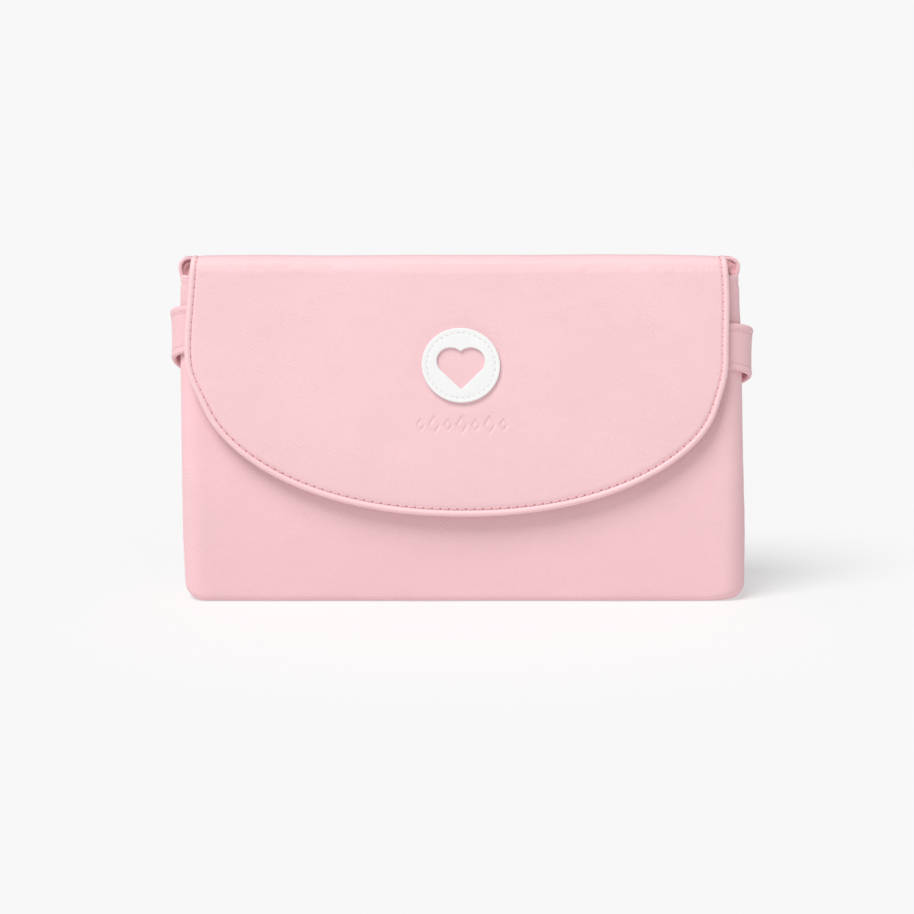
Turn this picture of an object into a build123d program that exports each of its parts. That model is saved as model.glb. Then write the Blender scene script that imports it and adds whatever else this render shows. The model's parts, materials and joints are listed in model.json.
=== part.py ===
from build123d import *
import math
import os

# Changing pad in its clutch: a flap-closed pouch with a folded padded mat inside and a carry strap.
# Millimetres. +Z is up, the front faces -Y, and the origin is the centre of the flat base.

# ---------------------------------------------------------------- driving dimensions
POUCH_WIDTH = 275.0        # side to side at the base
MOUTH_WIDTH = 270.0        # side to side at the mouth
MOUTH_Z = 158.0            # height of the pouch's open top
CROWN_Z = 168.0            # top of the closed flap
BASE_HALF_DEPTH = 14.0     # front and back faces at the base
BELLY_HALF_DEPTH = 19.0    # where the folded mat pushes the faces out
BELLY_Z = 62.0
MOUTH_HALF_DEPTH = 14.0
BOTTOM_CORNER = 10.0       # rounding of the lower corners, seen from the front
BASE_EDGE = 4.0            # rounding of the long lower edges
SIDE_EDGE = 12.0           # rounding of the upright edges

SHELL = 1.6                # outer leather
BOARD_START = 1.7          # stiffener boards lie just inside the leather
BOARD_END = 2.6
LINING_START = 2.7         # fabric lining inside the boards
LINING_END = 3.2
GUSSET_X = 123.0           # the side gussets start here
BASE_SEAM_Z = 5.0          # the base gusset ends here

FLAP_HALF_WIDTH = 129.5    # widest, at FLAP_WIDE_Z
FLAP_TOP_HALF_WIDTH = 127.2
FLAP_WIDE_Z = 120.0
FLAP_DROP = 76.0           # from the widest line down to the flap's tip
FLAP_FULLNESS = 2.12       # exponent of the superellipse of the lower edge
FLAP_HALF_THICK = 1.5
ROLL_WIDTH = 3.0           # turned edge of the flap
ROLL_HALF_THICK = 1.7
FLAP_TOP_Y = -19.0         # middle of the flap's thickness at three heights
FLAP_MIDDLE_Y = -23.2
FLAP_MIDDLE_Z = 110.0
FLAP_FOOT_Y = -24.3
FLAP_FOOT_Z = 38.0

HINGE_Z = CROWN_Z - FLAP_HALF_THICK
BACK_HINGE_Y = 13.0        # the flap folds at the back panel's top edge
FRONT_HINGE_Y = FLAP_TOP_Y # and again at the front of the crown
HINGE_GAP = 2.0            # bare stretch beside each fold line

PATCH_RADIUS = 18.6
PATCH_THICK = 1.2
PATCH_Z = 117.0
HEART_SIDE = 13.4          # side of the square in the heart-shaped window

SNAP_Z = 58.0
SNAP_RADIUS = 9.0
SNAP_RECESS = 4.6
SNAP_BOSS = 3.6
SNAP_RISE = 1.5            # socket, out from the front panel
STUD_RISE = 1.4            # stud, in from the flap
BOSS_RISE = 2.4
WASHER_THICK = 0.8

STRAP_WIDTH = 22.0
STRAP_OUTER_X = 140.6      # outer face of the strap beside the pouch
STRAP_LEATHER = 1.2
STRAP_BACKING = 0.9
STRAP_PIVOT_Y = -12.0      # where the strap bends at the front corners
STRAP_PIVOT_Z = 127.7
STRAP_REACH = 46.0         # from that bend to the strap's back span
STRAP_CORNER = 16.0
STRAP_DROOP = 22.0         # degrees that the hanging strap points down
STRAP_END_X = 104.0        # inner end of the sewn strap ends
STRAP_END_TAIL_Y = -3.0    # their outer end, beside the pouch
STRAP_END_THICK = 2.0

MAT_HALF_WIDTH = 124.0
MAT_FRONT_Y = -10.2
MAT_BOTTOM_Z = 3.7
MAT_TOP_Z = 144.0
MAT_FOAM = 2.4
MAT_SHEET = 0.4
MAT_PANELS = 4
MAT_BINDING = 1.2

POCKET_HALF_WIDTH = 112.0
POCKET_Y = 3.4
POCKET_SHEET = 0.6
POCKET_BOTTOM_Z = 8.0
POCKET_TOP_Z = 108.0
POCKET_HEM = 8.0

FAR = 400.0                # longer than any part of the object


# ---------------------------------------------------------------- shared shapes
def block(x0, x1, y0, y1, z0, z1):
    """Box between two corners."""
    size = (x1 - x0, y1 - y0, z1 - z0)
    return Pos((x0 + x1) / 2, (y0 + y1) / 2, (z0 + z1) / 2) * Box(*size)


def round_bar(radius, z, y0, y1, x=0.0):
    """Round bar along Y at a height, such as the envelope of a snap."""
    bar = Cylinder(radius, y1 - y0, rotation=(90, 0, 0))
    return Pos(x, (y0 + y1) / 2, z) * bar


def pouch_form(inset):
    """The pouch's outer shape, moved in by inset on its faces, sides and base."""
    half_base = POUCH_WIDTH / 2 - inset
    half_mouth = MOUTH_WIDTH / 2 - inset
    front_view = Plane.XZ * Polygon(
        (-half_base, inset), (half_base, inset), (half_mouth, MOUTH_Z), (-half_mouth, MOUTH_Z), align=None
    )
    front_view = fillet(front_view.vertices().group_by(Axis.Z)[0], BOTTOM_CORNER - inset)
    base, belly, mouth = BASE_HALF_DEPTH - inset, BELLY_HALF_DEPTH - inset, MOUTH_HALF_DEPTH - inset
    side_view = Plane.YZ * make_face(
        [
            Line((-base, inset), (base, inset)),
            ThreePointArc((base, inset), (belly, BELLY_Z), (mouth, MOUTH_Z)),
            Line((mouth, MOUTH_Z), (-mouth, MOUTH_Z)),
            ThreePointArc((-mouth, MOUTH_Z), (-belly, BELLY_Z), (-base, inset)),
        ]
    )
    side_view = fillet(side_view.vertices().group_by(Axis.Z)[0], max(BASE_EDGE - inset, 0.8))
    plan_view = RectangleRounded(2 * half_base, 2 * belly + 1, SIDE_EDGE - inset)
    return (
        extrude(front_view, FAR, both=True)
        & extrude(side_view, FAR, both=True)
        & extrude(plan_view, FAR, both=True)
    )


def pouch_wall(start, end):
    """Open-topped wall between two insets."""
    return pouch_form(start) - pouch_form(end)


def flap_layer(inner, outer):
    """Slab that follows the closed flap, between two offsets from its middle; outwards is positive."""
    top_z = HINGE_Z - HINGE_GAP
    edges = []
    for offset in (inner, outer):
        edges.append(
            ThreePointArc(
                (FLAP_TOP_Y - offset, top_z),
                (FLAP_MIDDLE_Y - offset, FLAP_MIDDLE_Z),
                (FLAP_FOOT_Y - offset, FLAP_FOOT_Z),
            )
        )
    caps = [Line(edges[0] @ 0, edges[1] @ 0), Line(edges[0] @ 1, edges[1] @ 1)]
    return extrude(Plane.YZ * make_face(edges + caps), FAR, both=True)


def flap_outline(inset):
    """Prism along Y of the flap's front view: a superellipse below its widest line, slim arcs above it."""
    wide = FLAP_HALF_WIDTH - inset
    drop = FLAP_DROP - inset
    top = FLAP_TOP_HALF_WIDTH - inset
    steps = 24
    lower = []
    for i in range(steps + 1):
        turn = math.pi * i / steps
        side = math.copysign(abs(math.cos(turn)) ** (2 / FLAP_FULLNESS), math.cos(turn))
        lower.append((wide * side, FLAP_WIDE_Z - drop * math.sin(turn) ** (2 / FLAP_FULLNESS)))
    rise = (HINGE_Z + FLAP_WIDE_Z) / 2
    bulge = wide - (wide - top) / 4
    outline = make_face(
        [
            Spline(*lower, tangents=[(0, -1), (0, 1)]),
            ThreePointArc((wide, FLAP_WIDE_Z), (bulge, rise), (top, HINGE_Z)),
            Line((top, HINGE_Z), (-top, HINGE_Z)),
            ThreePointArc((-top, HINGE_Z), (-bulge, rise), (-wide, FLAP_WIDE_Z)),
        ]
    )
    return extrude(Plane.XZ * outline, FAR, both=True)


def heart_prism():
    """Heart-shaped prism along Y: a square on its corner with a round lobe on each upper side."""
    reach = HEART_SIDE / (2 * math.sqrt(2))
    lobe = HEART_SIDE / 2
    heart = Rot(0, 0, 45) * Rectangle(HEART_SIDE, HEART_SIDE)
    for side in (-1, 1):
        heart += Pos(side * reach, reach) * Circle(lobe)
    heart = Plane.XZ * (Pos(0, PATCH_Z - reach / 2) * heart)
    return extrude(heart, FAR, both=True)


# ---------------------------------------------------------------- pouch
def make_pouch():
    shell = pouch_wall(0, SHELL)
    inner = 2 * BELLY_HALF_DEPTH
    middle = block(-GUSSET_X, GUSSET_X, -inner, inner, BASE_SEAM_Z, FAR)
    front = block(-FAR, FAR, -FAR, 0, -FAR, FAR)
    back = block(-FAR, FAR, 0, FAR, -FAR, FAR)
    tab_half = FLAP_TOP_HALF_WIDTH
    hinge_tab = block(
        -tab_half, tab_half, BACK_HINGE_Y - 0.7, BACK_HINGE_Y + 0.7, MOUTH_Z - 2, HINGE_Z - HINGE_GAP
    )
    parts = {}
    parts["front_panel"] = shell & middle & front
    parts["back_panel"] = (shell & middle & back) + (hinge_tab & block(-GUSSET_X, GUSSET_X, 0, FAR, 0, FAR))
    parts["base_gusset"] = shell & block(-GUSSET_X, GUSSET_X, -inner, inner, -1, BASE_SEAM_Z)
    parts["left_gusset"] = shell & block(-FAR, -GUSSET_X, -inner, inner, -1, FAR)
    parts["right_gusset"] = shell & block(GUSSET_X, FAR, -inner, inner, -1, FAR)
    parts["pouch_lining"] = pouch_wall(LINING_START, LINING_END)
    board = pouch_wall(BOARD_START, BOARD_END)
    board_half = GUSSET_X - 5
    parts["back_stiffener"] = board & block(-board_half, board_half, 0, FAR, 12, MOUTH_Z - 6)
    parts["base_stiffener"] = board & block(-board_half, board_half, -9, 9, 0, 4)
    rim = extrude(pouch_wall(0, LINING_END).faces().sort_by(Axis.Z)[-1], 1.2)
    parts["mouth_binding"] = rim - block(-FAR, FAR, BACK_HINGE_Y - 2.1, FAR, 0, FAR)
    return parts


def make_inner_pocket():
    """Flat wipes pocket on the back lining: a sheet with sides and a bottom that meet the lining."""
    inside = pouch_form(LINING_END)
    outer = block(-POCKET_HALF_WIDTH, POCKET_HALF_WIDTH, POCKET_Y, FAR, POCKET_BOTTOM_Z, POCKET_TOP_Z)
    hollow = block(
        -POCKET_HALF_WIDTH + POCKET_SHEET,
        POCKET_HALF_WIDTH - POCKET_SHEET,
        POCKET_Y + POCKET_SHEET,
        FAR,
        POCKET_BOTTOM_Z + POCKET_SHEET,
        FAR,
    )
    pocket = (outer - hollow) & inside
    hem_zone = block(-FAR, FAR, 0, POCKET_Y + POCKET_SHEET, POCKET_TOP_Z - POCKET_HEM, FAR)
    return {"inner_pocket": pocket - hem_zone, "pocket_elastic": pocket & hem_zone}


def make_snap():
    """Magnetic snap: a recessed socket on the front panel and a stud with a boss on the flap."""
    disc = round_bar(SNAP_RADIUS, SNAP_Z, -FAR, 0)
    recess = round_bar(SNAP_RECESS, SNAP_Z, -FAR, 0)
    boss = round_bar(SNAP_BOSS, SNAP_Z, -FAR, 0)
    inner = -FLAP_HALF_THICK
    parts = {}
    parts["snap_socket"] = (pouch_wall(-SNAP_RISE, 0) & disc) - recess
    parts["snap_socket_washer"] = pouch_wall(BOARD_START, BOARD_START + WASHER_THICK) & disc
    stud = flap_layer(inner - STUD_RISE, inner) & disc
    parts["snap_stud"] = stud + (flap_layer(inner - BOSS_RISE, inner - STUD_RISE / 2) & boss)
    return parts


# ---------------------------------------------------------------- flap
def make_flap():
    field = flap_outline(ROLL_WIDTH)
    lining_end = -FLAP_HALF_THICK + 0.6
    foam_end = lining_end + 1.2
    washer = flap_layer(lining_end, lining_end + WASHER_THICK) & round_bar(SNAP_RADIUS, SNAP_Z, -FAR, 0)
    disc = round_bar(PATCH_RADIUS, PATCH_Z, -FAR, 0)
    parts = {}
    parts["flap_lining"] = flap_layer(-FLAP_HALF_THICK, lining_end) & field
    parts["flap_foam"] = (flap_layer(lining_end, foam_end) & field) - washer
    parts["flap_outer"] = flap_layer(foam_end, FLAP_HALF_THICK) & field
    parts["flap_edge_roll"] = (flap_layer(-ROLL_HALF_THICK, ROLL_HALF_THICK) & flap_outline(0)) - field
    parts["snap_stud_washer"] = washer
    patch = flap_layer(FLAP_HALF_THICK, FLAP_HALF_THICK + PATCH_THICK) & disc
    parts["emblem_patch"] = patch - heart_prism()
    return parts


def make_fold():
    """The stretch of the flap that bridges the pouch's mouth, between its two fold lines."""
    half = FLAP_TOP_HALF_WIDTH
    y0 = FRONT_HINGE_Y + HINGE_GAP
    y1 = BACK_HINGE_Y - HINGE_GAP
    lining_top = HINGE_Z - 0.3
    return {
        "fold_lining": block(-half, half, y0, y1, HINGE_Z - FLAP_HALF_THICK, lining_top),
        "fold_strip": block(-half, half, y0, y1, lining_top, CROWN_Z),
    }


# ---------------------------------------------------------------- strap
def strap_band(outer_x, reach, thick):
    """U-shaped band behind the bend, with a round lug at each front end, before it droops."""
    plan = RectangleRounded(2 * outer_x, 2 * reach, STRAP_CORNER)
    plan -= RectangleRounded(2 * (outer_x - thick), 2 * (reach - thick), STRAP_CORNER - thick)
    band = extrude(plan, STRAP_WIDTH / 2, both=True) & block(-FAR, FAR, 0, FAR, -FAR, FAR)
    for side in (-1, 1):
        lug = Cylinder(STRAP_WIDTH / 2, thick, rotation=(0, 90, 0))
        band += Pos(side * (outer_x - thick / 2), 0, 0) * lug
    return Pos(0, STRAP_PIVOT_Y, STRAP_PIVOT_Z) * Rot(-STRAP_DROOP, 0, 0) * band


def make_strap():
    return {
        "strap_outer": strap_band(STRAP_OUTER_X, STRAP_REACH, STRAP_LEATHER),
        "strap_inner": strap_band(STRAP_OUTER_X - STRAP_LEATHER, STRAP_REACH - STRAP_LEATHER, STRAP_BACKING),
    }


def make_strap_end(side):
    """Sewn end of the strap: along the front panel under the flap, then round the corner."""
    z0 = STRAP_PIVOT_Z - STRAP_WIDTH / 2
    z1 = STRAP_PIVOT_Z + STRAP_WIDTH / 2
    near, far = sorted((side * STRAP_END_X, side * FAR))
    return pouch_wall(-STRAP_END_THICK, 0) & block(near, far, -FAR, STRAP_END_TAIL_Y, z0, z1)


# ---------------------------------------------------------------- folded mat
def make_mat():
    """Accordion fold: foam panels between two sheets that pass round them as one long serpentine."""
    pitch = MAT_FOAM + 2 * MAT_SHEET
    inner_half = MAT_HALF_WIDTH - MAT_BINDING
    foam_bottom = MAT_BOTTOM_Z + MAT_SHEET
    foam_top = MAT_TOP_Z - MAT_SHEET
    left = [MAT_FRONT_Y + i * pitch for i in range(MAT_PANELS)]
    back_y = left[-1] + pitch
    parts = {}
    for i, y in enumerate(left):
        y0 = y + MAT_SHEET
        parts[f"mat_foam_{i + 1}"] = block(
            -inner_half, inner_half, y0, y0 + MAT_FOAM, foam_bottom, foam_top
        )

    def layer(y0, y1, z0=foam_bottom, z1=foam_top):
        return block(-inner_half, inner_half, y0, y1, z0, z1)

    top_folds = [layer(left[i], left[i + 1] + pitch, foam_top, MAT_TOP_Z) for i in (0, 2)]
    back_sheet = layer(left[0], left[0] + MAT_SHEET) + layer(back_y - MAT_SHEET, back_y)
    back_sheet += layer(left[2] - MAT_SHEET, left[2] + MAT_SHEET)
    for fold in top_folds:
        back_sheet += fold
    top_sheet = layer(left[1] - MAT_SHEET, left[1] + MAT_SHEET)
    top_sheet += layer(left[3] - MAT_SHEET, left[3] + MAT_SHEET)
    bottom_fold = layer(left[0] + pitch - MAT_SHEET, left[3] + MAT_SHEET, MAT_BOTTOM_Z, foam_bottom)
    parts["mat_top_sheet"] = top_sheet + bottom_fold
    parts["mat_back_sheet"] = back_sheet
    binding = block(-MAT_HALF_WIDTH, -inner_half, MAT_FRONT_Y, back_y, MAT_BOTTOM_Z, MAT_TOP_Z)
    parts["mat_binding"] = binding + mirror(binding, Plane.YZ)
    return parts


# ---------------------------------------------------------------- write every node
def main():
    parts = {}
    parts.update(make_pouch())
    parts.update(make_inner_pocket())
    parts.update(make_snap())
    parts.update(make_flap())
    parts.update(make_fold())
    parts.update(make_strap())
    parts["strap_end_left"] = make_strap_end(-1)
    parts["strap_end_right"] = make_strap_end(1)
    parts.update(make_mat())
    os.makedirs("parts", exist_ok=True)
    for node, shape in parts.items():
        export_step(shape, f"parts/{node}.step")


main()
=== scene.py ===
"""Changing pad in its clutch: leather, stitching, patch, strap and folded mat round the fixed frame."""
import bisect
import json
import math

import bmesh
import bpy
from bpy.props import FloatProperty, FloatVectorProperty, PointerProperty
from mathutils import Matrix, Vector, noise


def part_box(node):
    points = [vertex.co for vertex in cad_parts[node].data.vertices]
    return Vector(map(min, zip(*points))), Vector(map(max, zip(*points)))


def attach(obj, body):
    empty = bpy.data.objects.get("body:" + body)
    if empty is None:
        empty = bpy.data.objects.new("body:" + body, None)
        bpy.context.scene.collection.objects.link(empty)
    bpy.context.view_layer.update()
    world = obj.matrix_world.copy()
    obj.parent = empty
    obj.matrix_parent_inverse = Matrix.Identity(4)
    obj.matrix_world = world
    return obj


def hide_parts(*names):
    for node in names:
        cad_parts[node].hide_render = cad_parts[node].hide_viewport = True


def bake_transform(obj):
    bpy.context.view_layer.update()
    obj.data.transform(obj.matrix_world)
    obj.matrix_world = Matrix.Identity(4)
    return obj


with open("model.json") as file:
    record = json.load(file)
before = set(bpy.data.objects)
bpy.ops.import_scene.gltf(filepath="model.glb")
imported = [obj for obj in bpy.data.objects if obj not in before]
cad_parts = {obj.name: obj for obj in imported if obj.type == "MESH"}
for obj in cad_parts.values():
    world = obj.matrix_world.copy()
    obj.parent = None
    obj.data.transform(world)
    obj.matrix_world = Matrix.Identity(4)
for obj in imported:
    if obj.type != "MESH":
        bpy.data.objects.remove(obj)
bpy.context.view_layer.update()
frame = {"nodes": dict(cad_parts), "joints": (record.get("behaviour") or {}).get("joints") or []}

bl_info = {
    "name": "Changing Pad Clutch",
    "version": (1, 0, 0),
    "blender": (4, 5, 0),
    "location": "View3D > Sidebar > Changing Pad",
    "description": "Builds a flap-closed leather clutch with a folded changing mat inside",
    "category": "Object",
}

MM = 0.001
SIDES = ((-1, "left"), (1, "right"))

# ---------------------------------------------------------------- places taken from the frame
JOINTS = {joint["name"]: joint for joint in frame["joints"]}
BACK_FOLD = Vector(JOINTS["flap_fold"]["pos_m"])
FRONT_FOLD = Vector(JOINTS["flap_turn"]["pos_m"])
STRAP_BEND = Vector(JOINTS["strap_lift"]["pos_m"])
CROWN_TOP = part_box("fold_strip")[1].z
CROWN_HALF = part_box("fold_strip")[1].x
FLAP_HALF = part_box("flap_edge_roll")[1].x
FLAP_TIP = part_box("flap_edge_roll")[0].z
FLAP_HALF_THICK = CROWN_TOP - BACK_FOLD.z
FLAP_FOOT_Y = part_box("flap_outer")[0].y + FLAP_HALF_THICK
FIELD_MIDDLE = (FRONT_FOLD.y + BACK_FOLD.y) / 2
POUCH_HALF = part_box("right_gusset")[1].x
MOUTH_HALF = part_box("mouth_binding")[1].x
MOUTH_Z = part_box("right_gusset")[1].z
MOUTH_PLUMP = 1.2 * MM
BELLY_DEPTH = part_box("right_gusset")[1].y
MOUTH_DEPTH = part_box("mouth_binding")[0].y * -1
PATCH_LOW, PATCH_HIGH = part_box("emblem_patch")
PATCH_CENTRE = (PATCH_LOW + PATCH_HIGH) / 2
PATCH_RADIUS = (PATCH_HIGH.x - PATCH_LOW.x) / 2
STRAP_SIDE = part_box("strap_outer")[1].x
STRAP_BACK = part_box("strap_outer")[1].y
STRAP_END_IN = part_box("strap_end_right")[0].x
STRAP_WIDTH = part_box("strap_end_right")[1].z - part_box("strap_end_right")[0].z
MAT_LOW, MAT_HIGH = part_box("mat_binding")
MAT_PANELS = 4
POCKET_LOW, POCKET_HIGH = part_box("inner_pocket")
HEM_LOW, HEM_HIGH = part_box("pocket_elastic")

# ---------------------------------------------------------------- fixed making details
BELLY_Z = 62 * MM
PLAN_CORNER = 11 * MM
FLAP_BACK_FOOT = 146 * MM
SEAM_LAP = 1.5 * MM
TURNED_EDGE_HALF = 1.75 * MM
PATCH_STITCH_INSET = 2.35 * MM
PATCH_THICKNESS = 1.25 * MM
STRAP_STITCH_INSET = 3.4 * MM
LINING_CLEARANCE = 4.0 * MM
MAT_EDGE_INSET = 0.8 * MM
TUCK_START_X = 126.4 * MM
TUCK_WIDTH = 7.2 * MM
TUCK_HEIGHT = 15.4 * MM
TUCK_Y = -5.2 * MM
ORNAMENT_Z = PATCH_CENTRE.z - 28.5 * MM
ORNAMENT_STEP = 6.6 * MM
ORNAMENT_COUNT = 7


# ---------------------------------------------------------------- settings
def size_of(name, about, default):
    """A length that a user can change."""
    return FloatProperty(name=name, description=about, default=default, unit="LENGTH")


def angle_of(name, about, degrees):
    """An angle that a user can change."""
    return FloatProperty(name=name, description=about, default=math.radians(degrees), unit="ROTATION")


def tint_of(name, about, *colour):
    """A colour that a user can change."""
    return FloatVectorProperty(name=name, description=about, subtype="COLOR", size=3, default=colour)


def place_of(name, about, *co):
    """A point or direction that a user can change."""
    return FloatVectorProperty(name=name, description=about, subtype="XYZ", size=3, default=co)


def amount_of(name, about, default, least=0.0, most=1000.0):
    """A plain number that a user can change."""
    return FloatProperty(name=name, description=about, default=default, min=least, max=most)


class PadShapeSettings(bpy.types.PropertyGroup):
    lean: size_of("Lean", "How far the top leans to the left", 3.2 * MM)
    wide_height: size_of("Flap Widest At", "Height of the flap's widest line", 120 * MM)
    fullness: amount_of("Flap Fullness", "Exponent of the flap's lower curve", 2.12, 1.6, 4.0)
    flap_hang: size_of("Flap Hang", "How far the flap's sides hang to the left", 2.0 * MM)
    flap_pull: size_of("Flap Pull", "How far the flap pulls in below its widest line", 1.55 * MM)
    crown_radius: size_of("Crown Radius", "Bend of the leather at the crown", 4.5 * MM)
    crown_sag: size_of("Crown Sag", "Dip of the top between its ends", 0.3 * MM)
    crown_fall: size_of("Crown Fall", "Slope of the crown down to the back", 4.2 * MM)
    patch_oval: amount_of("Patch Oval", "Height of the patch over its width", 0.95, 0.8, 1.0)
    pillow: size_of("Flap Pillow", "Rise of the flap inside its stitching", 0.7 * MM)
    stitch_inset: size_of("Stitch Inset", "Flap tip to its topstitching", 3.9 * MM)
    stitch_inset_side: size_of("Side Stitch Inset", "Flap side to its topstitching", 2.9 * MM)
    stitch_pitch: size_of("Stitch Pitch", "Distance between flap stitches", 4.1 * MM)
    gusset_fold: size_of("Gusset Fold", "How far the side gussets fold in", 5.0 * MM)
    strap_droop: angle_of("Strap Droop", "Downward slope of the strap", 24)
    strap_roll: size_of("Strap Roll", "How much higher the left end sits", 9.4 * MM)
    strap_stitch: size_of("Strap Stitch", "Distance between strap stitches", 2.6 * MM)


class PadColourSettings(bpy.types.PropertyGroup):
    leather: tint_of("Leather", "Pink leather of the flap", 0.880, 0.578, 0.606)
    # Same leather as the flap, made a deeper pink: painted shade, for the pinker shade on the pouch under the
    # flap. The strap and gusset tops wear it too.
    pouch: tint_of("Pouch Leather", "Pink leather of the pouch and strap", 0.870, 0.551, 0.583)
    thread: tint_of("Thread", "Topstitching", 0.80, 0.47, 0.49)
    # Dark red of the beads at the stitches' ends: painted shade inside the needle hole.
    hole: tint_of("Needle Hole", "Inside of a stitch hole", 0.58, 0.22, 0.23)
    patch: tint_of("Patch", "White patch", 0.86, 0.865, 0.86)
    patch_thread: tint_of("Patch Thread", "Thread on the patch", 0.66, 0.66, 0.65)
    lining: tint_of("Lining", "Woven lining", 0.74, 0.42, 0.45)
    # The backing's own tone, made deeper and more saturated: partly painted shade, for the pinker shade
    # inside the strap loop and in the corner under the crown.
    backing: tint_of("Strap Backing", "Inner face of the strap", 0.76, 0.40, 0.42)
    mat_top: tint_of("Mat Top", "Wipe-clean top of the mat", 0.84, 0.76, 0.76)
    mat_edge: tint_of("Mat Edge", "Binding of the mat", 0.72, 0.34, 0.39)


class PadStageSettings(bpy.types.PropertyGroup):
    lens: amount_of("Lens", "Focal length in millimetres", 85.0, 20.0, 300.0)
    distance: size_of("Distance", "Camera to the object", 1.04)
    elevation: angle_of("Elevation", "Camera height angle", 8.5)
    aim: place_of("Aim", "Point that the camera looks at", -0.0041, -0.016, 0.0717)
    key: amount_of("Key Light", "Strength of the soft key light", 2.50)
    key_spread: angle_of("Key Spread", "Angle that the key light fills", 30)
    key_from: place_of("Key From", "Direction that the key light comes from", -0.42, -0.62, 1.05)
    sky: amount_of("Sky", "Strength of the even light", 0.46)
    backdrop: amount_of("Backdrop", "Brightness of the backdrop that the camera sees", 0.938)
    floor_radius: size_of("Floor Radius", "Radius of the floor", 40.0)
    floor: tint_of("Floor", "Floor paper", 0.45, 0.45, 0.45)
    floor_glow: amount_of("Floor Glow", "Light that comes through the floor paper", 0.437)


def shape():
    """The shape settings."""
    return bpy.context.scene.pad_shape


def colours():
    """The colour settings."""
    return bpy.context.scene.pad_colours


# ---------------------------------------------------------------- small tools
def settle(co):
    """A point after the clutch's slight lean, which grows with height."""
    return Vector((co.x - shape().lean * co.z / CROWN_TOP, co.y, co.z))


def ripple(x, z, scale, seed):
    """Smooth repeatable noise from -1 to 1 over the front, with features of about scale metres."""
    return noise.noise(Vector((x / scale, z / scale, seed)))


def hump(value, centre, width):
    """Bell curve that is 1 at centre."""
    return math.exp(-(((value - centre) / width) ** 2))


def signed_power(value, power):
    """Power of a number's size, with the number's own sign."""
    return math.copysign(abs(value) ** power, value)


def rounded(distance, radius):
    """Rises from 0 to 1 over a radius, like a quarter circle."""
    share = min(distance / radius, 1.0)
    return math.sqrt(max(1 - (1 - share) ** 2, 0.0))


def grid(columns, rows, place):
    """Grid whose vertices place(across, along) puts, where both shares run from 0 to 1."""
    bm = bmesh.new()
    bmesh.ops.create_grid(bm, x_segments=columns, y_segments=rows, size=0.5)
    for vert in bm.verts:
        vert.co = place(vert.co.x + 0.5, vert.co.y + 0.5)
    return bm


def close_solid(bm):
    """Merges doubles, fills open ends and turns every face outwards."""
    bmesh.ops.remove_doubles(bm, verts=bm.verts, dist=0.01 * MM)
    open_edges = [edge for edge in bm.edges if edge.is_boundary]
    if open_edges:
        bmesh.ops.holes_fill(bm, edges=open_edges, sides=0)
    bmesh.ops.recalc_face_normals(bm, faces=bm.faces)
    return bm


def thicken(bm, thickness, centre=None, facing=None):
    """Gives a sheet its wall, on the side towards centre or away from facing."""
    bm.normal_update()
    total = 0.0
    for face in bm.faces:
        outwards = facing if facing is not None else face.calc_center_median() - centre
        total += face.normal.dot(outwards) * face.calc_area()
    if total < 0:
        bmesh.ops.reverse_faces(bm, faces=bm.faces)
    bmesh.ops.solidify(bm, geom=bm.faces[:], thickness=thickness)
    return bm


def add_object(name, data):
    """New object in the scene."""
    obj = bpy.data.objects.new(name, data)
    bpy.context.scene.collection.objects.link(obj)
    return obj


def mesh_from(name, bm):
    """New mesh from a bmesh, which is freed."""
    mesh = bpy.data.meshes.new(name)
    bm.to_mesh(mesh)
    bm.free()
    return mesh


def piece(name, bm, finish, sharp=None):
    """Object from a bmesh, smooth shaded, with its finish."""
    mesh = mesh_from(name, bm)
    mesh.shade_smooth()
    if sharp is not None:
        mesh.set_sharp_from_angle(angle=math.radians(sharp))
    mesh.materials.append(finish_of(finish))
    obj = add_object(name, mesh)
    return obj


class Route:
    """Line through points with a surface normal at each, measured by distance."""

    def __init__(self, points, normals):
        self.points = points
        self.normals = normals
        self.marks = [0.0]
        for a, b in zip(points, points[1:]):
            self.marks.append(self.marks[-1] + (b - a).length)
        self.length = self.marks[-1]

    def at(self, distance):
        """Point, direction and surface normal at a distance along the line."""
        distance = min(max(distance, 0.0), self.length)
        i = min(max(bisect.bisect_right(self.marks, distance) - 1, 0), len(self.points) - 2)
        share = (distance - self.marks[i]) / max(self.marks[i + 1] - self.marks[i], 1e-9)
        ahead = (self.points[i + 1] - self.points[i]).normalized()
        normal = self.normals[i].lerp(self.normals[i + 1], share)
        normal = (normal - ahead * normal.dot(ahead)).normalized()
        return self.points[i].lerp(self.points[i + 1], share), ahead, normal

    def beside(self, sideways, outwards, steps):
        """Line that keeps its place across and above this one."""
        points = []
        normals = []
        for i in range(steps + 1):
            point, ahead, normal = self.at(self.length * i / steps)
            points.append(point + ahead.cross(normal) * sideways + normal * outwards)
            normals.append(normal)
        return Route(points, normals)


def sweep(route, section, rings, count=16):
    """Closed rod along a route; section(share) gives (sideways, outwards) round its outline."""

    def place(across, along):
        point, ahead, normal = route.at(along * route.length)
        side = ahead.cross(normal)
        sideways, outwards = section(across)
        return point + side * sideways + normal * outwards

    return close_solid(grid(count, rings, place))


def oval(half_wide, half_high):
    """Section of a round or flattened rod."""

    def section(share):
        angle = 2 * math.pi * share
        return half_wide * math.cos(angle), half_high * math.sin(angle)

    return section


def bead(bm, point, forward, up, size, rings):
    """Adds a small ball, size long, wide and high, that lies forward on a surface."""
    turn = Matrix((forward, up.cross(forward), up)).transposed().to_4x4()
    place = Matrix.Translation(point) @ turn @ Matrix.Diagonal((*size, 1))
    bmesh.ops.create_uvsphere(bm, u_segments=7, v_segments=rings, radius=0.5, matrix=place)


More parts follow.
